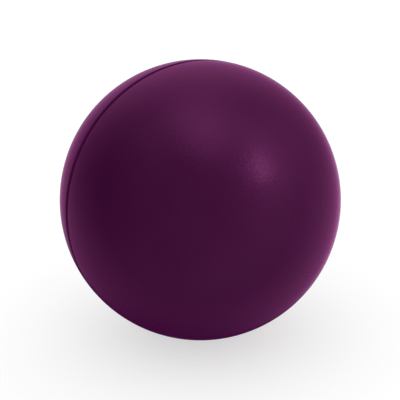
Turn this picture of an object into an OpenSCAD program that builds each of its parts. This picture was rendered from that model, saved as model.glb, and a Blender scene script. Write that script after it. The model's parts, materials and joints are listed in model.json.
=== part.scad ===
// Tenpin bowling ball in its layers: a cover moulded as two halves, a filler core, a weight block
// with its flip block and locator pin, two finger inserts and an interchangeable thumb sleeve.
// Origin: the ball's centre. +Z is up. The parting line lies in the XZ plane, and +Y runs from the
// centre to the grip centre, so the front half is plain and the back half is drilled.
// Millimetres and degrees.

/* [Ball] */
// Outside diameter of the ball
ball_d = 217.2; // [215.9:0.1:218.3]
// Thickness of the cover
cover_t = 22; // [19:0.5:24]

/* [Parting line] */
// Width of the groove between the halves, at the surface
groove_w = 3.6; // [2:0.1:5]
// Depth of that groove
groove_depth = 2; // [1:0.1:3]
// Thickness of the tongue that locates the halves
tongue_t = 6; // [4:0.5:8]
// Length of that tongue
tongue_l = 6; // [3:0.5:9]

/* [Grip] */
// Surface distance from the grip centre down to the thumb hole's centre
thumb_arc = 66; // [60:1:70]
// Surface distance from the grip centre up to the level of the finger holes' centres
finger_arc = 64; // [58:1:68]
// Distance between the finger holes' centres at the surface
finger_spacing = 33; // [32:0.5:36]
// Distance by which each finger hole's axis misses the ball's centre, towards its own side
side_pitch = 6.35; // [6:0.05:8]

/* [Finger inserts] */
// Outside diameter of an insert
insert_d = 24.6; // [24:0.1:25]
// Bore of the middle finger's insert
middle_bore_d = 20.2; // [18:0.1:20.6]
// Bore of the ring finger's insert
ring_bore_d = 19.4; // [17:0.1:20.6]
// Length of an insert
insert_l = 29; // [25:1:30]
// Depth of the holes drilled for the inserts
finger_hole_depth = 32; // [32:1:33]

/* [Thumb sleeve] */
// Outside diameter of the outer sleeve, which is bonded into the ball
outer_sleeve_d = 41.3; // [41:0.1:42]
// Outside diameter of the inner sleeve, which turns and lifts out
inner_sleeve_d = 33; // [32:0.1:33.4]
// Bore of the inner sleeve, where the thumb goes
thumb_bore_d = 25.4; // [22:0.1:27]
// Depth of the hole drilled for the sleeves
thumb_hole_depth = 68; // [66:1:68]
// Turn between locked and free
lock_turn = 60; // [45:5:75]
// Width of each locking lug, as an angle
lug_angle = 30; // [20:1:34]

/* [Core] */
// Radius of the weight block's bulb
bulb_r = 37; // [33:0.5:38]
// Radius of the weight block's base
base_r = 38; // [32:0.5:39]
// Surface distance from the grip centre's level up to the locator pin
pin_rise = 91; // [88:1:96]
// Turn of the locator pin about the vertical axis, towards the ring finger
pin_turn = 20; // [18:1:26]
// Diameter of the locator pin
pin_d = 9.5; // [8:0.5:10]

/* [Hidden] */
$fn = 128;
ball_r = ball_d / 2;
inner_r = ball_r - cover_t;
bond_gap = 0.1;             // thickness of a glue line between two pieces
skim = 0.2;                 // how far a fitted piece sits below the ball's surface
over = 1;                   // how far a cutter runs past the face that it cuts
reach = ball_r + 10;        // a radius that is clear of the ball

tongue_mid = ball_r - 0.55 * cover_t;
tongue_in = tongue_mid - tongue_t / 2;
tongue_out = tongue_mid + tongue_t / 2;

insert_sink = 1.8;          // how far an insert's end lies below the surface, on the hole's axis
insert_bevel = 1.4;
thumb_bevel = 1.8;
finger_el = arc_angle(finger_arc);
finger_az = asin(finger_spacing / 2 / (ball_r * cos(finger_el)));
finger_top = norm(ball_r * direction(finger_el, finger_az) - finger_pivot(1));
thumb_dir = direction(-arc_angle(thumb_arc), 0);

run_gap = 0.1;              // radial running clearance of the inner sleeve
end_gap = 0.3;              // clearance round each locking lug, and below the inner sleeve
bore_floor = 5;             // height of the outer sleeve's bore above the drilled hole's bottom
ring_t = 2.5;               // thickness of the ring that the inner sleeve is pushed against
ring_inset = 0.5;           // how far the ring's edges stay inside the inner sleeve's wall
ring_z = ball_r - thumb_hole_depth + bore_floor;
inner_sleeve_z = ring_z + bond_gap + ring_t + end_gap;
lug_z = inner_sleeve_z + 14;
lug_h = 5;
lug_rise = 2;               // how far a lug stands out of the inner sleeve
lug_slack = 2;              // free turn at each side of a lug
lug_root = 2;               // how far a lug's solid runs into the inner sleeve's wall
tool_notch_w = 5;
tool_notch_depth = 3.5;
tool_notch_angle = 30;
index_w = 1;                // the line across both rims that meets when the sleeve is locked
index_depth = 0.6;
index_angle = 120;

pin_dir = direction(arc_angle(pin_rise), pin_turn);
bulb_z = 16;                // heights here are along the locator pin's axis, from the ball's centre
bulb_top = 46;              // the flat on the bulb that carries the flip block
neck_r = 26;
base_bottom = -52;
base_top = -30;
base_chamfer = 5;
flip_r = 20;
flip_h = 14;
flip_chamfer = 2;
flip_bottom = bulb_top + bond_gap;
flip_top = flip_bottom + flip_h;

// The angle that an arc on the ball's surface spans at its centre
function arc_angle(arc) = arc / ball_r * 180 / PI;

// A unit vector at an elevation above the horizontal and a turn about Z, from +Y towards -X
function direction(el, az) = [-sin(az) * cos(el), cos(az) * cos(el), sin(el)];

// The point of a finger hole's axis beside the ball's centre: side is 1 for the ring finger and
// -1 for the middle finger
function finger_pivot(side) = [-side * side_pitch, 0, 0];

// Height of the sleeves' rim at a radius from the thumb hole's axis
function rim_z(r) = sqrt((ball_r - skim) * (ball_r - skim) - r * r);

// Turns the children's +Z to direction d
module along(d) {
    rotate([0, 0, atan2(-d[0], d[1])])
        rotate([asin(d[2] / norm(d)) - 90, 0, 0])
            children();
}

// Places the children on a finger hole's axis, with +Z out of the ball
module on_finger(side) {
    translate(finger_pivot(side))
        along(ball_r * direction(finger_el, side * finger_az) - finger_pivot(side))
            children();
}

// A ring of rectangular section, from r1 to r2 and from z1 to z2, or a stretch of it
module band(r1, r2, z1, z2, start = 0, angle = 360) {
    rotate([0, 0, start])
        rotate_extrude(angle = angle)
            translate([r1, z1])
                square([r2 - r1, z2 - z1]);
}

// A cutter that takes a 45 degree bevel off the mouth, at height z, of a bore of radius r
module mouth_bevel(r, bevel, z) {
    translate([0, 0, z - bevel])
        cylinder(r1 = r, r2 = r + 2 * bevel, h = 2 * bevel);
}

// Half of a hollow ball, below the XY plane, with its side of the parting groove
module half_shell() {
    slope = groove_w / 2 / groove_depth;
    rotate_extrude()
        difference() {
            circle(ball_r);
            circle(inner_r);
            translate([-reach, -reach])
                square([reach, 2 * reach]);
            translate([-reach, -bond_gap / 2])
                square([2 * reach, reach]);
            polygon([[ball_r - groove_depth, 0], [ball_r + over, 0],
                     [ball_r + over, -slope * (groove_depth + over)]]);
        }
}

module finger_drill(side) {
    on_finger(side)
        translate([0, 0, finger_top - finger_hole_depth])
            cylinder(r = insert_d / 2 + bond_gap, h = reach);
}

module thumb_drill() {
    along(thumb_dir)
        translate([0, 0, ball_r - thumb_hole_depth])
            cylinder(r = outer_sleeve_d / 2 + bond_gap, h = reach);
}

module pin_drill() {
    along(pin_dir)
        translate([0, 0, flip_top - over])
            cylinder(r = pin_d / 2 + bond_gap, h = reach);
}

module drillings() {
    finger_drill(1);
    finger_drill(-1);
    thumb_drill();
    pin_drill();
}

// The weight block's bulb, neck and base, larger all round by grow
module block_body(grow = 0) {
    base_straight = base_bottom + base_chamfer;
    difference() {
        translate([0, 0, bulb_z])
            sphere(r = bulb_r + grow);
        translate([-reach, -reach, bulb_top + grow])
            cube([2 * reach, 2 * reach, reach]);
    }
    translate([0, 0, base_top - over])
        cylinder(r = neck_r + grow, h = bulb_z - base_top + over);
    translate([0, 0, base_straight])
        cylinder(r = base_r + grow, h = base_top + grow - base_straight);
    translate([0, 0, base_bottom - grow])
        cylinder(r1 = base_r + grow - base_chamfer, r2 = base_r + grow, h = base_chamfer + grow);
}

// The flip block, larger all round by grow
module flip_body(grow = 0) {
    shoulder = flip_top - flip_chamfer + grow;
    translate([0, 0, flip_bottom - grow])
        cylinder(r = flip_r + grow, h = shoulder - flip_bottom + grow);
    translate([0, 0, shoulder])
        cylinder(r1 = flip_r + grow, r2 = flip_r + grow - flip_chamfer, h = flip_chamfer);
}

module front_cover() {
    color([0.27, 0.08, 0.24])
        rotate([-90, 0, 0]) {
            half_shell();
            band(tongue_in, tongue_out, -over, tongue_l);
        }
}

module back_cover() {
    color([0.27, 0.08, 0.24])
        difference() {
            rotate([90, 0, 0])
                difference() {
                    half_shell();
                    band(tongue_in - bond_gap, tongue_out + bond_gap, -tongue_l - bond_gap, over);
                }
            drillings();
        }
}

module filler_core() {
    color([0.62, 0.6, 0.56])
        difference() {
            sphere(r = inner_r - bond_gap);
            along(pin_dir) {
                block_body(bond_gap);
                flip_body(bond_gap);
            }
            drillings();
        }
}

module weight_block() {
    color([0.32, 0.34, 0.38])
        along(pin_dir)
            block_body();
}

module flip_block() {
    color([0.62, 0.28, 0.12])
        along(pin_dir)
            flip_body();
}

module locator_pin() {
    color([0.86, 0.84, 0.78])
        intersection() {
            along(pin_dir)
                translate([0, 0, flip_top + bond_gap])
                    cylinder(r = pin_d / 2, h = reach);
            sphere(r = ball_r);
        }
}

// A tube with a bevelled mouth. Its flat end sits just below the ball's surface all round.
module finger_insert(side, bore_d) {
    bottom = finger_top - insert_sink - insert_l;
    on_finger(side)
        difference() {
            translate([0, 0, bottom])
                cylinder(r = insert_d / 2, h = insert_l);
            translate([0, 0, bottom - over])
                cylinder(r = bore_d / 2, h = insert_l + 2 * over);
            mouth_bevel(bore_d / 2, insert_bevel, bottom + insert_l);
        }
}

module middle_finger_insert() {
    color([0.1, 0.1, 0.11])
        finger_insert(-1, middle_bore_d);
}

module ring_finger_insert() {
    color([0.1, 0.1, 0.11])
        finger_insert(1, ring_bore_d);
}

// The line cut across a sleeve's rim, from radius r1 to r2
module index_line(r1, r2) {
    rotate([0, 0, index_angle])
        translate([r1, -index_w / 2, rim_z(r2) - index_depth])
            cube([r2 - r1, index_w, reach]);
}

// The two L-shaped ways in the outer sleeve: down the bore to the lugs' level, then round it. The
// way in is a little deeper and narrower than the track, so the two meet in a clean edge.
module lug_tracks(bore_r) {
    track_r = inner_sleeve_d / 2 + lug_rise + end_gap;
    half = lug_angle / 2 + lug_slack;
    for (side = [0, 180]) {
        band(bore_r - over, track_r + end_gap, lug_z + lug_h / 2, reach,
             side + lock_turn - half, 2 * half - lug_slack / 2);
        band(bore_r - over, track_r, lug_z - end_gap, lug_z + lug_h + end_gap,
             side - half, lock_turn + 2 * half);
    }
}

module thumb_outer_sleeve() {
    outer_r = outer_sleeve_d / 2;
    bore_r = inner_sleeve_d / 2 + run_gap;
    color([0.07, 0.07, 0.08])
        along(thumb_dir)
            difference() {
                intersection() {
                    translate([0, 0, ball_r - thumb_hole_depth + bond_gap])
                        cylinder(r = outer_r, h = reach);
                    sphere(r = ball_r - skim);
                }
                translate([0, 0, ring_z])
                    cylinder(r = bore_r, h = reach);
                lug_tracks(bore_r);
                index_line(bore_r - over, outer_r + over);
            }
}

module thumb_inner_sleeve() {
    sleeve_r = inner_sleeve_d / 2;
    bore_r = thumb_bore_d / 2;
    color([0.2, 0.2, 0.22])
        along(thumb_dir) {
            difference() {
                intersection() {
                    translate([0, 0, inner_sleeve_z])
                        cylinder(r = sleeve_r, h = reach);
                    sphere(r = ball_r - skim);
                }
                translate([0, 0, inner_sleeve_z - over])
                    cylinder(r = bore_r, h = reach);
                mouth_bevel(bore_r, thumb_bevel, rim_z(bore_r + thumb_bevel));
                for (side = [0, 180])
                    rotate([0, 0, side + tool_notch_angle])
                        translate([bore_r - over, -tool_notch_w / 2, rim_z(sleeve_r) - tool_notch_depth])
                            cube([sleeve_r, tool_notch_w, reach]);
                index_line(bore_r - over, sleeve_r + over);
            }
            for (side = [0, 180])
                band(sleeve_r - lug_root, sleeve_r + lug_rise, lug_z, lug_z + lug_h,
                     side - lug_angle / 2, lug_angle);
        }
}

module thumb_tension_ring() {
    color([0.45, 0.08, 0.08])
        along(thumb_dir)
            band(thumb_bore_d / 2 + ring_inset, inner_sleeve_d / 2 - ring_inset,
                 ring_z + bond_gap, ring_z + bond_gap + ring_t);
}

front_cover();
back_cover();
filler_core();
weight_block();
flip_block();
locator_pin();
middle_finger_insert();
ring_finger_insert();
thumb_outer_sleeve();
thumb_inner_sleeve();
thumb_tension_ring();
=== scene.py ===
"""Bowling ball: its looks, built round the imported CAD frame.

Metres. The origin is the ball's centre, +Z is up, the parting line lies in the XZ plane, and the
drilled half is at +Y.
"""
import json
import math

import bmesh
import bpy
import numpy as np
from mathutils import Matrix, Vector


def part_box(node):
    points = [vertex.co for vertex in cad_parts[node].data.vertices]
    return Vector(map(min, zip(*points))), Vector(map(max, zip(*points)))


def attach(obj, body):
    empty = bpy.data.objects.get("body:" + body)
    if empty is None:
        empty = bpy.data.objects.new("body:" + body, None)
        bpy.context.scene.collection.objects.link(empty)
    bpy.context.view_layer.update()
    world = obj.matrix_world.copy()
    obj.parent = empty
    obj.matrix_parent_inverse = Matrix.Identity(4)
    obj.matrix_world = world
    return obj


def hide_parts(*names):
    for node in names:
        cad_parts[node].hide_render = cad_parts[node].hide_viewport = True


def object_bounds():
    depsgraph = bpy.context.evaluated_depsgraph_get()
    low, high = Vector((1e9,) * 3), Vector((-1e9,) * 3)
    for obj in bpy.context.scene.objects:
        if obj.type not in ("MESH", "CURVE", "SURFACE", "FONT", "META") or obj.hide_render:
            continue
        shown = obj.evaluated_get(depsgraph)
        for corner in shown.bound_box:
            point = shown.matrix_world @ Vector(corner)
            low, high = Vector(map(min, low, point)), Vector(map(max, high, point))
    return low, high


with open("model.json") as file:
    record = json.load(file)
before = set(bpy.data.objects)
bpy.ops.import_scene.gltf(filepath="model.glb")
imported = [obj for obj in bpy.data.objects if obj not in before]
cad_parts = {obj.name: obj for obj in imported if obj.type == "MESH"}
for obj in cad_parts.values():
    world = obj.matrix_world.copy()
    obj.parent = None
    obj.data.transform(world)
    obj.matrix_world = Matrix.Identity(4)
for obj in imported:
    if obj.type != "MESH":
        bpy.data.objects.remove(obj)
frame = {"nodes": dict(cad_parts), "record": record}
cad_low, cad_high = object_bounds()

MM = 0.001
BALL_R = (cad_high - cad_low).y / 2
CORE_R = (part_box("filler_core")[1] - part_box("filler_core")[0]).z / 2
MOUNTS = {mount["name"]: mount for mount in frame["record"]["mounts"]}

GLUE = 0.1 * MM               # glue line between two pieces
SKIM = 0.2 * MM               # how far a sleeve's rim lies below the ball's surface

# Parting groove, and the tongue inside it
GROOVE_W = 3.6 * MM
GROOVE_DEPTH = 2 * MM
GROOVE_LIP = 1.3 * MM         # length of the rounding where the groove meets the surface
LIP_RING = 0.1 * MM           # narrow faces beside the lip, which keep its shading off the ball's round
GROOVE_SKIN = 0.1 * MM        # how deep the polished skin reaches into the groove
TONGUE_MID = BALL_R - 12.1 * MM
TONGUE_T = 6 * MM             # across the cover's wall
TONGUE_L = 6 * MM             # out of the parting plane

# Holes drilled in the cover
FINGER_HOLE_LIP = 0.5 * MM    # rounding of each hole's mouth
THUMB_HOLE_LIP = 0.6 * MM
PIN_HOLE_LIP = 0.15 * MM
DRILL_ABOVE = 3 * MM          # how far a drill stands out of the ball

# Thumb sleeves: heights are along the thumb hole's axis, from the ball's centre. Angles are in degrees
# round it, from the middle of a locked lug.
SLEEVE_HOLE_DEPTH = 68 * MM
BORE_FLOOR = 5 * MM           # the outer sleeve's bore ends this far above the hole's bottom
RUN_GAP = 0.1 * MM            # between the sleeves
END_GAP = 0.3 * MM            # between a lug and its track, above, below and outside
LUG_H = 5 * MM
LUG_RISE = 2 * MM
LUG_ANGLE = 30
LUG_SLACK = 2
LOCK_TURN = 60
LUG_ABOVE_END = 14 * MM       # the lugs' underside above the inner sleeve's lower end
TOOL_NOTCH_W = 5 * MM
TOOL_NOTCH_DEPTH = 3.5 * MM
TOOL_NOTCH_ANGLE = 30
INDEX_W = 1 * MM              # index line, cut in both sleeves' rims
INDEX_DEPTH = 0.6 * MM
INDEX_ANGLE = 120
SLEEVE_EDGE = 0.3 * MM        # rounding of the sleeves' edges
NICK = 0.05 * MM              # slant of the steps at the lugs and in their tracks

# Mesh making: steps round each kind of piece
BALL_STEPS = 240
SLEEVE_STEPS = 180
INSERT_STEPS = 128
HOLE_STEPS = 96
PIN_STEPS = 64

# Mesh making: steps along an outline
OUTSIDE_STEPS = 80            # the cover's outside, from the parting line to the pole
INSIDE_STEPS = 20             # its inside
LIP_STEPS = 12                # the groove's lip
MOUTH_STEPS = 10              # the rounded mouth of an insert or a sleeve
EDGE_STEPS = 4                # a rounded edge

# Mesh making: limits
SHARP = math.radians(32)      # an edge that bends more than this is shaded sharp
STEP_SLANT = 0.25             # degrees on each side of a step round a piece
ON_AXIS = 1e-9                # a radius below this is on the axis
WELD = 1e-7                   # points closer than this become one
CUT_WELD = 1e-6               # the same, after a cut


# ---------------------------------------------------------------- places

def placing(pivot, direction):
    """The matrix that puts a piece made round +Z on a line, turned about it as the CAD turns it."""
    x, y, z = Vector(direction).normalized()
    turn = Matrix.Rotation(math.atan2(-x, y), 4, "Z")
    tilt = Matrix.Rotation(math.asin(z) - math.pi / 2, 4, "X")
    return Matrix.Translation(Vector(pivot)) @ turn @ tilt


def finger_placing(mount):
    """The placing on a finger hole's axis, from the axis's point in the plane Y = 0."""
    point, axis = Vector(mount["pos_m"]), Vector(mount["axis"])
    return placing(point - axis * (point.y / axis.y), axis)


def spread(node, place):
    """A CAD node's least and greatest radius about a placing's axis, and its ends along it."""
    inverse = place.inverted()
    points = [inverse @ v.co for v in frame["nodes"][node].data.vertices]
    radii = [math.hypot(p.x, p.y) for p in points]
    heights = [p.z for p in points]
    return min(radii), max(radii), min(heights), max(heights)


def surface_height(place, radius, angle):
    """Height at which a line parallel to a placing's axis comes out of the ball."""
    start = place @ Vector((radius * math.cos(angle), radius * math.sin(angle), 0))
    along = (place.to_3x3() @ Vector((0, 0, 1))).normalized()
    across = start.dot(along)
    return math.sqrt(across ** 2 - start.length_squared + BALL_R ** 2) - across


FRONT = placing((0, 0, 0), (0, -1, 0))
BACK = placing((0, 0, 0), (0, 1, 0))
MIDDLE = finger_placing(MOUNTS["middle_finger_bore"])
RING = finger_placing(MOUNTS["ring_finger_bore"])
THUMB = placing((0, 0, 0), MOUNTS["thumb_bore"]["axis"])
pin_low, pin_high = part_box("locator_pin")
PIN = placing((0, 0, 0), (pin_low + pin_high) / 2)


# ---------------------------------------------------------------- mesh tools

def arc(centre, radius, start, stop, steps):
    """Points on an arc in the radius and height plane, with angles in degrees."""
    angles = np.radians(np.linspace(start, stop, steps + 1))
    return [(centre[0] + radius * math.cos(a), centre[1] + radius * math.sin(a)) for a in angles]


def curve(start, corner, stop, steps):
    """Points on a quadratic curve that rounds a corner off."""
    out = []
    for i in range(steps + 1):
        t = i / steps
        weights = ((1 - t) ** 2, 2 * t * (1 - t), t ** 2)
        out.append(tuple(sum(w * p[k] for w, p in zip(weights, (start, corner, stop)))
                         for k in (0, 1)))
    return out


def angles_with(steps, edges=()):
    """Even angles in degrees, with a close pair at each edge angle so that a step there is crisp."""
    even = [360 * i / steps for i in range(steps)]
    kept = [a for a in even if all(abs((a - e + 180) % 360 - 180) > 2 * STEP_SLANT for e in edges)]
    pairs = [(e + side * STEP_SLANT) % 360 for e in edges for side in (-1, 1)]
    return sorted(kept + pairs)


def lathe(name, column, place, angles, material, closed=False):
    """A mesh with one column of (radius, height) points at each angle round +Z, put in place.

    Without closed, a column starts and ends on the axis. With closed, its end joins its start.
    """
    bm = bmesh.new()
    columns = []
    poles = {}
    for degrees in angles:
        turn = math.radians(degrees)
        verts = []
        for i, (radius, height) in enumerate(column(degrees)):
            if radius < ON_AXIS:
                if i not in poles:
                    poles[i] = bm.verts.new((0, 0, height))
                verts.append(poles[i])
            else:
                verts.append(bm.verts.new((radius * math.cos(turn), radius * math.sin(turn), height)))
        columns.append(verts)
    rows = len(columns[0]) if closed else len(columns[0]) - 1
    for a, b in zip(columns, columns[1:] + columns[:1]):
        for i in range(rows):
            j = (i + 1) % len(a)
            corners = []
            for vert in (a[i], b[i], b[j], a[j]):
                if vert not in corners:
                    corners.append(vert)
            if len(corners) > 2:
                bm.faces.new(corners)
    bmesh.ops.remove_doubles(bm, verts=bm.verts, dist=WELD)
    bmesh.ops.transform(bm, matrix=place, verts=bm.verts)
    return finished(name, bm, material)


def mark_sharp(bm):
    """Shades every edge smooth but the sharp and the open ones."""
    for edge in bm.edges:
        edge.smooth = edge.is_manifold and edge.calc_face_angle(0) < SHARP


def finished(name, bm, material):
    """An object from a bmesh, with outward faces, smooth but for its sharp edges."""
    bmesh.ops.recalc_face_normals(bm, faces=bm.faces)
    for face in bm.faces:
        face.smooth = True
    mark_sharp(bm)
    mesh = bpy.data.meshes.new(name)
    bm.to_mesh(mesh)
    bm.free()
    mesh.materials.append(material)
    obj = bpy.data.objects.new(name, mesh)
    bpy.context.scene.collection.objects.link(obj)
    return obj


def cut(obj, cutters):
    """Takes the cutters out of obj and removes them. The cut walls keep the cutters' material."""
    for cutter in cutters:
        modifier = obj.modifiers.new("cut", "BOOLEAN")
        modifier.object = cutter
        modifier.operation = "DIFFERENCE"
        modifier.solver = "EXACT"
        modifier.material_mode = "TRANSFER"
    bpy.context.view_layer.update()
    graph = bpy.context.evaluated_depsgraph_get()
    mesh = bpy.data.meshes.new_from_object(obj.evaluated_get(graph))
    obj.modifiers.clear()
    obj.data = mesh
    for cutter in cutters:
        bpy.data.objects.remove(cutter)
    bm = bmesh.new()
    bm.from_mesh(mesh)
    bmesh.ops.remove_doubles(bm, verts=bm.verts, dist=CUT_WELD)
    mark_sharp(bm)
    bm.to_mesh(mesh)
    bm.free()


# ---------------------------------------------------------------- materials

NOISE_RANGE = (0.3, 0.7)      # nearly all of a noise lies between these values


class Shader:
    """A material's node tree, built by short calls."""

    def __init__(self, name):
        self.material = bpy.data.materials.new(name)
        self.material.use_nodes = True
        self.tree = self.material.node_tree
        self.tree.nodes.clear()
        output = self.node("ShaderNodeOutputMaterial")
        self.surface = self.node("ShaderNodeBsdfPrincipled")
        self.link(self.surface.outputs["BSDF"], output, "Surface")
        self.place = self.node("ShaderNodeTexCoord").outputs["Object"]

    def node(self, kind, **settings):
        """A new node, with its settings."""
        made = self.tree.nodes.new(kind)
        for key, value in settings.items():
            setattr(made, key, value)
        return made

    def link(self, source, node, socket):
        """Links an output to a node's input."""
        self.tree.links.new(source, node.inputs[socket])

    def noise(self, size, detail, roughness=0.5):
        """Noise whose features are about size across, from 0 to 1."""
        made = self.node("ShaderNodeTexNoise")
        made.inputs["Scale"].default_value = 1 / size
        made.inputs["Detail"].default_value = detail
        made.inputs["Roughness"].default_value = roughness
        self.link(self.place, made, "Vector")
        return made.outputs["Fac"]

    def cells(self, size):
        """Distance to the nearest of random points about size apart."""
        made = self.node("ShaderNodeTexVoronoi", feature="F1")
        made.inputs["Scale"].default_value = 1 / size
        self.link(self.place, made, "Vector")
        return made.outputs["Distance"]

    def ramp(self, source, *stops):
        """Colours or greys by value: each stop is (position, colour)."""
        made = self.node("ShaderNodeValToRGB")
        while len(made.color_ramp.elements) < len(stops):
            made.color_ramp.elements.new(0.5)
        for element, (position, colour) in zip(made.color_ramp.elements, stops):
            element.position = position
            element.color = (*colour, 1) if isinstance(colour, tuple) else (colour,) * 3 + (1,)
        self.link(source, made, "Fac")
        return made.outputs["Color"]

    def cloud(self, noise, dark, light):
        """Colours from dark to light over a noise's range."""
        return self.ramp(noise, (NOISE_RANGE[0], dark), (NOISE_RANGE[1], light))

    def span(self, source, low, high, least=NOISE_RANGE[0], most=NOISE_RANGE[1], smooth=False):
        """source from least to most becomes low to high."""
        made = self.node("ShaderNodeMapRange")
        if smooth:
            made.interpolation_type = "SMOOTHSTEP"
        for socket, value in zip(("From Min", "From Max", "To Min", "To Max"), (least, most, low, high)):
            made.inputs[socket].default_value = value
        self.link(source, made, "Value")
        return made.outputs["Result"]

    def sums(self, *terms):
        """The sum of (source, factor) terms."""
        total = None
        for source, factor in terms:
            made = self.node("ShaderNodeMath", operation="MULTIPLY_ADD")
            self.link(source, made, 0)
            made.inputs[1].default_value = factor
            if total is None:
                made.inputs[2].default_value = 0
            else:
                self.link(total, made, 2)
            total = made.outputs[0]
        return total

    def bump(self, source, height, strength):
        """Bumps of that height on the surface, where source goes from 0 to 1."""
        made = self.node("ShaderNodeBump")
        made.inputs["Distance"].default_value = height
        made.inputs["Strength"].default_value = strength
        self.link(source, made, "Height")
        self.link(made.outputs["Normal"], self.surface, "Normal")

    def set(self, **values):
        """Sets the surface's inputs, with _ for each space in their names."""
        for key, value in values.items():
            self.surface.inputs[key.replace("_", " ")].default_value = value


def cover_material():
    """Deep purple moulded skin with a satin, finely grained surface.

    Its reflections stay purple out to the rim, where a plain plastic's turn white: a metal's lobe takes
    over as the surface turns away, and a purple sheen lies on top.
    """
    s = Shader("cover_satin_purple")
    cloud = s.noise(30 * MM, 3)
    s.link(s.cloud(cloud, (0.0208, 0.0028, 0.0143), (0.0234, 0.0033, 0.0161)), s.surface, "Base Color")
    turned = s.node("ShaderNodeLayerWeight").outputs["Facing"]
    rim_metal = 0.73
    rim_start = 0.32
    s.link(s.span(turned, 0.0, rim_metal, 0.0, rim_start, smooth=True), s.surface, "Metallic")
    grain = s.noise(1.8 * MM, 2, 0.6)
    fine = s.noise(0.5 * MM, 1)
    s.link(s.span(s.sums((cloud, 0.35), (grain, 0.65)), 0.21, 0.28), s.surface, "Roughness")
    s.bump(s.sums((grain, 1.0), (fine, 0.35)), 0.10 * MM, 1.0)
    s.set(Specular_IOR_Level=0.5, Specular_Tint=(1.0, 0.207, 0.769, 1),
          Sheen_Weight=0.065, Sheen_Roughness=1.0, Sheen_Tint=(1.0, 0.046, 0.824, 1))
    return s.material


def drilled_material():
    """The cover's material where it is drilled: duller, with the drill's fine rings."""
    s = Shader("cover_drilled_wall")
    cloud = s.noise(6 * MM, 3)
    s.link(s.cloud(cloud, (0.040, 0.006, 0.030), (0.060, 0.010, 0.046)), s.surface, "Base Color")
    rings = s.noise(0.4 * MM, 2, 0.6)
    s.link(s.span(rings, 0.5, 0.65), s.surface, "Roughness")
    s.bump(rings, 0.04 * MM, 0.5)
    s.set(Specular_IOR_Level=0.4)
    return s.material


def groove_material():
    """The parting groove's walls: unpolished skin, darkened with painted shade of the narrow groove, and
    mottled by what collects in them.
    """
    s = Shader("cover_groove")
    dirt_and_shade = s.noise(2.5 * MM, 4, 0.6)
    # Painted shade: these colours are set dark and low in green so that the walls read as the groove's shadow
    # line. The mottle stands for dirt.
    s.link(s.cloud(dirt_and_shade, (0.034, 0.0005, 0.026), (0.044, 0.0010, 0.033)), s.surface, "Base Color")
    s.link(s.span(dirt_and_shade, 0.7, 0.85), s.surface, "Roughness")
    s.bump(s.noise(0.5 * MM, 3, 0.6), 0.05 * MM, 0.5)
    s.set(Specular_IOR_Level=0.25, Specular_Tint=(1.0, 0.1, 0.769, 1))
    return s.material


def resin_material(name, dark, light, fleck, fleck_size, roughness):
    """Cast resin with mineral filler: clouded colour and small flecks."""
    s = Shader(name)
    base = s.cloud(s.noise(14 * MM, 4), dark, light)
    flecks = s.ramp(s.cells(fleck_size), (0.12, 1.0), (0.2, 0.0))
    mix = s.node("ShaderNodeMix", data_type="RGBA")
    mix.inputs["B"].default_value = (*fleck, 1)
    s.link(flecks, mix, "Factor")
    s.link(base, mix, "A")
    s.link(mix.outputs["Result"], s.surface, "Base Color")
    pits = s.noise(0.8 * MM, 3, 0.6)
    s.link(s.span(pits, roughness - 0.08, roughness + 0.08), s.surface, "Roughness")
    s.bump(pits, 0.12 * MM, 0.6)
    s.set(Specular_IOR_Level=0.4)
    return s.material


def rubber_material(name, dark, light):
    """Soft moulded grip: nearly matte, with a fine matted grain."""
    s = Shader(name)
    s.link(s.cloud(s.noise(5 * MM, 3), dark, light), s.surface, "Base Color")
    grain = s.noise(0.45 * MM, 2, 0.6)
    s.link(s.span(grain, 0.58, 0.74), s.surface, "Roughness")
    s.bump(grain, 0.06 * MM, 0.6)
    s.set(Specular_IOR_Level=0.45)
    return s.material


def plastic_material(name, dark, light, roughness):
    """Turned hard plastic: slight cloudiness and fine handling marks."""
    s = Shader(name)
    cloud = s.noise(8 * MM, 3)
    s.link(s.cloud(cloud, dark, light), s.surface, "Base Color")
    marks = s.noise(0.5 * MM, 4, 0.7)
    uneven = s.sums((marks, 0.7), (cloud, 0.3))
    s.link(s.span(uneven, roughness - 0.07, roughness + 0.09), s.surface, "Roughness")
    s.bump(marks, 0.03 * MM, 0.5)
    s.set(Specular_IOR_Level=0.5)
    return s.material


COVER = cover_material()
DRILLED = drilled_material()
GROOVE = groove_material()
FILLER = resin_material("filler_resin", (0.34, 0.31, 0.27), (0.46, 0.43, 0.37), (0.60, 0.58, 0.52),
                        2.2 * MM, 0.62)
HEAVY = resin_material("weight_block_resin", (0.07, 0.08, 0.10), (0.13, 0.14, 0.16),
                       (0.30, 0.31, 0.33), 1.6 * MM, 0.5)
DENSE = resin_material("flip_block_resin", (0.22, 0.06, 0.02), (0.36, 0.11, 0.04),
                       (0.50, 0.30, 0.18), 1.4 * MM, 0.5)
PIN_PLASTIC = plastic_material("pin_plastic", (0.62, 0.58, 0.48), (0.74, 0.70, 0.60), 0.42)
GRIP = rubber_material("insert_grip", (0.014, 0.014, 0.016), (0.024, 0.024, 0.027))
SLEEVE_BLACK = plastic_material("outer_sleeve_plastic", (0.012, 0.012, 0.014), (0.020, 0.020, 0.023), 0.36)
SLEEVE_GREY = plastic_material("inner_sleeve_plastic", (0.050, 0.050, 0.056), (0.075, 0.075, 0.082), 0.42)
RED_RUBBER = rubber_material("tension_ring_rubber", (0.20, 0.014, 0.014), (0.30, 0.028, 0.024))


# ---------------------------------------------------------------- the cover

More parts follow.
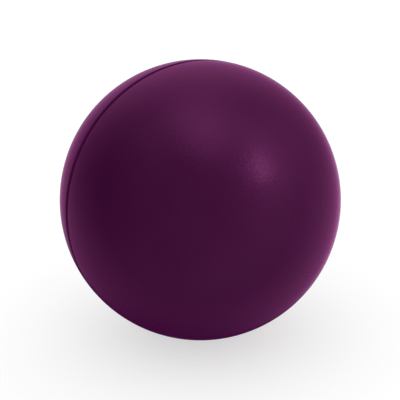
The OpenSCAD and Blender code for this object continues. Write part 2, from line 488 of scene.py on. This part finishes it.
def half_shell(tongue):
    """A column of half a hollow ball round +Z. tongue is +1 where the tongue is, -1 for its slot."""
    step = GLUE / 2
    slack = 0 if tongue > 0 else GLUE
    half_t = TONGUE_T / 2 + slack
    tip = -TONGUE_L if tongue > 0 else TONGUE_L + slack
    inner_r = CORE_R + GLUE
    inside = arc((0, 0), inner_r, 90, math.degrees(math.asin(step / inner_r)), INSIDE_STEPS)
    joint = [(TONGUE_MID - half_t, step), (TONGUE_MID - half_t, tip),
             (TONGUE_MID + half_t, tip), (TONGUE_MID + half_t, step)]
    lip = (GROOVE_W / 2 + GROOVE_LIP) / BALL_R
    groove = curve((BALL_R - GROOVE_DEPTH, step), (BALL_R, GROOVE_W / 2),
                   (BALL_R * math.cos(lip), BALL_R * math.sin(lip)), LIP_STEPS)
    outside = arc((0, 0), BALL_R, math.degrees(lip + LIP_RING / BALL_R), 90, OUTSIDE_STEPS)
    inside[0] = (0, inner_r)
    outside[-1] = (0, BALL_R)     # both poles exactly on the axis
    points = inside + joint + groove + outside
    return lambda angle: points


def drill(place, node, lip):
    """A cutter for the hole that a node is bonded in. It also rounds the edge of the hole's mouth."""
    radius = spread(node, place)[1] + GLUE

    def column(degrees):
        angle = math.radians(degrees)
        rim = surface_height(place, radius + lip, angle)
        edge = surface_height(place, radius, angle)
        top = rim + DRILL_ABOVE
        mouth = curve((radius, rim - lip), (radius, edge), (radius + lip, rim), EDGE_STEPS)
        return [(0, 0), (radius, 0)] + mouth + [(radius + 2 * lip, top), (0, top)]

    return lathe("drill", column, place, angles_with(HOLE_STEPS), DRILLED)


def dress_groove(shell):
    """Gives the parting groove's walls their own material, whose colour holds painted shade."""
    shell.data.materials.append(GROOVE)
    for face in shell.data.polygons:
        deep = face.center.length < BALL_R - GROOVE_SKIN
        near = abs(face.center.y) < GROOVE_W / 2 + GROOVE_LIP and face.center.length > BALL_R - GROOVE_DEPTH
        if deep and near:
            face.material_index = 1


def build_cover():
    """The plain front half and the drilled back half."""
    front = lathe("front_cover_shell", half_shell(1), FRONT, angles_with(BALL_STEPS), COVER)
    dress_groove(front)
    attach(front, "ball")
    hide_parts("front_cover")

    back = lathe("back_cover_shell", half_shell(-1), BACK, angles_with(BALL_STEPS), COVER)
    dress_groove(back)
    cut(back, [
        drill(MIDDLE, "middle_finger_insert", FINGER_HOLE_LIP),
        drill(RING, "ring_finger_insert", FINGER_HOLE_LIP),
        drill(THUMB, "thumb_outer_sleeve", THUMB_HOLE_LIP),
        drill(PIN, "locator_pin", PIN_HOLE_LIP),
    ])
    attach(back, "ball")
    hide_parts("back_cover")


# ---------------------------------------------------------------- finger inserts

def build_insert(name, node, place):
    """A soft tube with a rounded mouth."""
    bore_r, outer_r, bottom, top = spread(node, place)
    mouth = 1.6 * MM
    edge = 0.35 * MM
    points = (
        [(bore_r, bottom + edge), (bore_r + edge, bottom), (outer_r - edge, bottom), (outer_r, bottom + edge)]
        + arc((outer_r - edge, top - edge), edge, 0, 90, EDGE_STEPS)
        + arc((bore_r + mouth, top - mouth), mouth, 90, 180, MOUTH_STEPS)
    )
    obj = lathe(name, lambda angle: points, place, angles_with(INSERT_STEPS), GRIP, closed=True)
    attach(obj, "ball")
    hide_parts(node)


# ---------------------------------------------------------------- locator pin

def build_pin():
    """A rod whose end follows the ball's surface."""
    _, radius, bottom, _ = spread("locator_pin", PIN)
    edge = 0.15 * MM
    end_rows = 8
    rim = math.sqrt(BALL_R ** 2 - (radius - edge) ** 2)
    end = [(r, math.sqrt(BALL_R ** 2 - r ** 2)) for r in np.linspace(radius - edge, 0, end_rows)]
    rounded = curve((radius, rim - edge), (radius, rim), end[0], EDGE_STEPS)
    points = [(0, bottom), (radius, bottom)] + rounded + end[1:]
    obj = lathe("locator_pin_rod", lambda angle: points, PIN, angles_with(PIN_STEPS), PIN_PLASTIC)
    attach(obj, "ball")
    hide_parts("locator_pin")


# ---------------------------------------------------------------- thumb sleeves

def within(degrees, start, stop):
    """Is this angle inside a range of angles, or inside the same range half a turn on?"""
    return any((degrees - start - side) % 360 < stop - start for side in (0, 180))


def both_sides(*edges):
    """The edge angles, and the same half a turn on."""
    return [(edge + side) % 360 for edge in edges for side in (0, 180)]


RIM_R = BALL_R - SKIM
BORE_BOTTOM = BALL_R - SLEEVE_HOLE_DEPTH + BORE_FLOOR
SLEEVE_R = spread("thumb_inner_sleeve", THUMB)[1] - LUG_RISE
INNER_BOTTOM = spread("thumb_inner_sleeve", THUMB)[2]
THUMB_R = MOUNTS["thumb_bore"]["dims"]["r_mm"] * MM
LUG_BOTTOM = INNER_BOTTOM + LUG_ABOVE_END


def rim_height(radius):
    """Height of the sleeves' rims at that radius. They follow the ball's curve."""
    return math.sqrt(RIM_R ** 2 - radius ** 2)


def index_range(radius):
    """The angles at which the index line on a rim of that radius starts and ends."""
    half = math.degrees(INDEX_W / 2 / radius)
    return INDEX_ANGLE - half, INDEX_ANGLE + half


def build_outer_sleeve():
    """The bonded cup, with the lugs' two ways in and tracks cut in its bore."""
    outer_r = spread("thumb_outer_sleeve", THUMB)[1]
    bottom = BALL_R - SLEEVE_HOLE_DEPTH + GLUE
    bore_r = SLEEVE_R + RUN_GAP
    track_r = SLEEVE_R + LUG_RISE + END_GAP
    half = LUG_ANGLE / 2 + LUG_SLACK
    entry = (LOCK_TURN - half, LOCK_TURN + half - LUG_SLACK / 2)
    track = (-half, LOCK_TURN + half)
    index = index_range(outer_r)
    low, high = LUG_BOTTOM - END_GAP, LUG_BOTTOM + LUG_H + END_GAP
    middle = LUG_BOTTOM + LUG_H / 2
    edge = SLEEVE_EDGE
    rim_rows = 5

    def column(degrees):
        in_entry = within(degrees, *entry)
        in_track = within(degrees, *track)
        mouth_r = track_r + END_GAP if in_entry else bore_r
        lug_r = track_r if in_track else bore_r
        over_lug_r = mouth_r if in_entry else lug_r
        sink = INDEX_DEPTH if index[0] < degrees < index[1] else 0
        rim_out = rim_height(outer_r - edge) - sink
        rim_in = rim_height(mouth_r + edge) - sink
        rim = [(r, rim_height(r) - sink) for r in np.linspace(outer_r - edge, mouth_r + edge, rim_rows)]
        return (
            [(0, bottom), (outer_r - edge, bottom), (outer_r, bottom + edge)]
            + curve((outer_r, rim_out - edge), (outer_r, rim_out), rim[0], EDGE_STEPS)
            + rim[1:-1]
            + curve(rim[-1], (mouth_r, rim_in), (mouth_r, rim_in - edge), EDGE_STEPS)
            + [(mouth_r, high + NICK), (over_lug_r, high), (over_lug_r, middle + NICK),
               (lug_r, middle), (lug_r, low), (bore_r, low - NICK),
               (bore_r, BORE_BOTTOM), (0, BORE_BOTTOM)]
        )

    angles = angles_with(SLEEVE_STEPS, both_sides(*entry, *track) + list(index))
    obj = lathe("thumb_outer_sleeve_cup", column, THUMB, angles, SLEEVE_BLACK)
    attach(obj, "ball")
    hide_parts("thumb_outer_sleeve")


def build_inner_sleeve():
    """The thumb piece that turns: a tube with two lugs, two tool notches and an index line."""
    edge = SLEEVE_EDGE
    mouth = 2.0 * MM
    rim_rows = 4
    notch_half = math.degrees(math.asin(TOOL_NOTCH_W / 2 / ((THUMB_R + SLEEVE_R) / 2)))
    notch = (TOOL_NOTCH_ANGLE - notch_half, TOOL_NOTCH_ANGLE + notch_half)
    index = index_range(SLEEVE_R)
    lug = (-LUG_ANGLE / 2, LUG_ANGLE / 2)
    lug_top = LUG_BOTTOM + LUG_H

    def column(degrees):
        lug_r = SLEEVE_R + (LUG_RISE if within(degrees, *lug) else 0)
        sink = INDEX_DEPTH if index[0] < degrees < index[1] else 0
        limit = rim_height(SLEEVE_R) - TOOL_NOTCH_DEPTH if within(degrees, *notch) else BALL_R
        rim_out = rim_height(SLEEVE_R - edge) - sink
        rim = [(r, rim_height(r) - sink) for r in np.linspace(SLEEVE_R - edge, THUMB_R + mouth, rim_rows)]
        rim_in = rim[-1][1]
        points = (
            [(THUMB_R, INNER_BOTTOM + edge), (THUMB_R + edge, INNER_BOTTOM),
             (SLEEVE_R - edge, INNER_BOTTOM), (SLEEVE_R, INNER_BOTTOM + edge),
             (SLEEVE_R, LUG_BOTTOM - NICK), (lug_r, LUG_BOTTOM), (lug_r, lug_top),
             (SLEEVE_R, lug_top + NICK)]
            + curve((SLEEVE_R, rim_out - edge), (SLEEVE_R, rim_out), rim[0], EDGE_STEPS)
            + rim[1:]
            + arc((THUMB_R + mouth, rim_in - mouth), mouth, 90, 180, MOUTH_STEPS)[1:]
        )
        return [(r, min(z, limit)) for r, z in points]

    angles = angles_with(SLEEVE_STEPS, both_sides(*notch, *lug) + list(index))
    obj = lathe("thumb_inner_sleeve_tube", column, THUMB, angles, SLEEVE_GREY, closed=True)
    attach(obj, "thumb_sleeve")
    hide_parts("thumb_inner_sleeve")


# ---------------------------------------------------------------- CAD nodes that stay

def dress_cad_nodes():
    """Gives the CAD nodes that stay their materials."""
    for node, material in (("filler_core", FILLER), ("weight_block", HEAVY), ("flip_block", DENSE),
                           ("thumb_tension_ring", RED_RUBBER)):
        for slot in frame["nodes"][node].material_slots:
            slot.material = material


# ---------------------------------------------------------------- studio

CAMERA_AZIMUTH = -27.2
CAMERA_ELEVATION = 16.8
CAMERA_DISTANCE = 5.5 * BALL_R
CAMERA_LENS = 68.46
CAMERA_SHIFT = (-0.0008, -0.0006)
FLOOR_R = 20
FLOOR_STEPS = 96

# What the glossy surfaces see: soft round lights on the studio's walls. Each is the azimuth (from the
# camera's, to the right) and elevation of its centre, the angle from there out to which it is full and at
# which it ends, and its strength. Angles are in degrees. The flags are black cards, which take light away.
STUDIO_LIGHTS = {
    "overhead": (70, 88, 4, 37, 0.80),
    "overhead_front": (11, 65, 9, 22, 0.62),
    "overhead_back": (189, 69, 0, 78, 1.30),
    "spot": (58, 30, 0, 11, 4.6),
    "spot_top": (61, 39, 0, 10, 1.9),
    "right_high": (79, 35, 0, 42, 1.08),
    "right": (78, 20, 24, 64, 0.38),
    "front": (43, 9, 40, 73, 0.14),
    "low_right": (130, -54, 9, 110, 0.78),
    "low_left": (-144, -52, 3, 97, 0.64),
    "flag_low": (-173, -59, 5, 68, -1.24),
    "backdrop": (187, -2, 17, 42, 0.10),
    "rim_right": (158, -18, 0, 20, 0.52),
    "rim_left": (203, -14, 0, 18, 0.20),
    "flag_behind": (184, -33, 11, 22, -0.60),
}


def toward(azimuth, elevation):
    """The direction from the ball to a place at an azimuth from -Y towards +X, and an elevation."""
    a, e = math.radians(azimuth), math.radians(elevation)
    return Vector((math.sin(a) * math.cos(e), -math.cos(a) * math.cos(e), math.sin(e)))


def build_camera():
    """The camera, which looks at the ball's centre."""
    data = bpy.data.cameras.new("camera")
    data.lens = CAMERA_LENS
    data.shift_x, data.shift_y = CAMERA_SHIFT
    camera = bpy.data.objects.new("camera", data)
    camera.location = toward(CAMERA_AZIMUTH, CAMERA_ELEVATION) * CAMERA_DISTANCE
    camera.rotation_mode = "QUATERNION"
    camera.rotation_quaternion = camera.location.to_track_quat("Z", "Y")
    bpy.context.scene.collection.objects.link(camera)
    bpy.context.scene.camera = camera


def build_world():
    """Even white to the camera and to matt surfaces, and the studio lights to the glossy ones."""
    world = bpy.data.worlds.new("studio")
    bpy.context.scene.world = world
    world.use_nodes = True
    world.cycles.sampling_method = "NONE"
    nodes, links = world.node_tree.nodes, world.node_tree.links
    nodes.clear()

    def math_node(operation, *inputs):
        """The result of an operation on numbers and other nodes' outputs."""
        made = nodes.new("ShaderNodeMath")
        made.operation = operation
        for socket, value in zip(made.inputs, inputs):
            if isinstance(value, (int, float)):
                socket.default_value = value
            else:
                links.new(value, socket)
        return made.outputs[0]

    direction = nodes.new("ShaderNodeTexCoord").outputs["Generated"]
    total = 0.0
    for azimuth, elevation, full, end, strength in STUDIO_LIGHTS.values():
        centre = nodes.new("ShaderNodeVectorMath")
        centre.operation = "DOT_PRODUCT"
        centre.inputs[1].default_value = toward(CAMERA_AZIMUTH + azimuth, elevation)
        links.new(direction, centre.inputs[0])
        fade = nodes.new("ShaderNodeMapRange")
        fade.interpolation_type = "SMOOTHSTEP"
        fade.inputs["From Min"].default_value = math.radians(end)
        fade.inputs["From Max"].default_value = math.radians(full)
        fade.inputs["To Min"].default_value = 0.0
        fade.inputs["To Max"].default_value = strength
        links.new(math_node("ARCCOSINE", centre.outputs["Value"]), fade.inputs["Value"])
        total = math_node("ADD", fade.outputs["Result"], total)
    glossy = nodes.new("ShaderNodeLightPath").outputs["Is Glossy Ray"]
    reflected = math_node("MULTIPLY", math_node("MAXIMUM", total, 0.0), glossy)
    even = math_node("SUBTRACT", 1.0, glossy)
    background = nodes.new("ShaderNodeBackground")
    background.inputs["Color"].default_value = (1, 1, 1, 1)
    links.new(math_node("ADD", reflected, even), background.inputs["Strength"])
    output = nodes.new("ShaderNodeOutputWorld")
    links.new(background.outputs["Background"], output.inputs["Surface"])


def build_floor():
    """A white table that is lit a little from below, as for product photographs."""
    s = Shader("studio_floor")
    s.link(s.cloud(s.noise(0.4, 2), 0.46, 0.50), s.surface, "Base Color")
    s.set(Roughness=0.9, Specular_IOR_Level=0.0, Emission_Color=(1, 1, 1, 1), Emission_Strength=0.58)
    bm = bmesh.new()
    bmesh.ops.create_circle(bm, cap_ends=True, radius=FLOOR_R, segments=FLOOR_STEPS)
    floor = finished("studio_floor", bm, s.material)
    floor.location.z = -BALL_R
    floor.visible_glossy = False


def build_studio():
    """What the ball is looked at with: camera, light and floor."""
    build_camera()
    build_world()
    build_floor()
    bpy.context.scene.view_settings.view_transform = "Standard"


# ---------------------------------------------------------------- the scene

build_cover()
build_insert("middle_finger_grip", "middle_finger_insert", MIDDLE)
build_insert("ring_finger_grip", "ring_finger_insert", RING)
build_pin()
build_outer_sleeve()
build_inner_sleeve()
dress_cad_nodes()
build_studio()
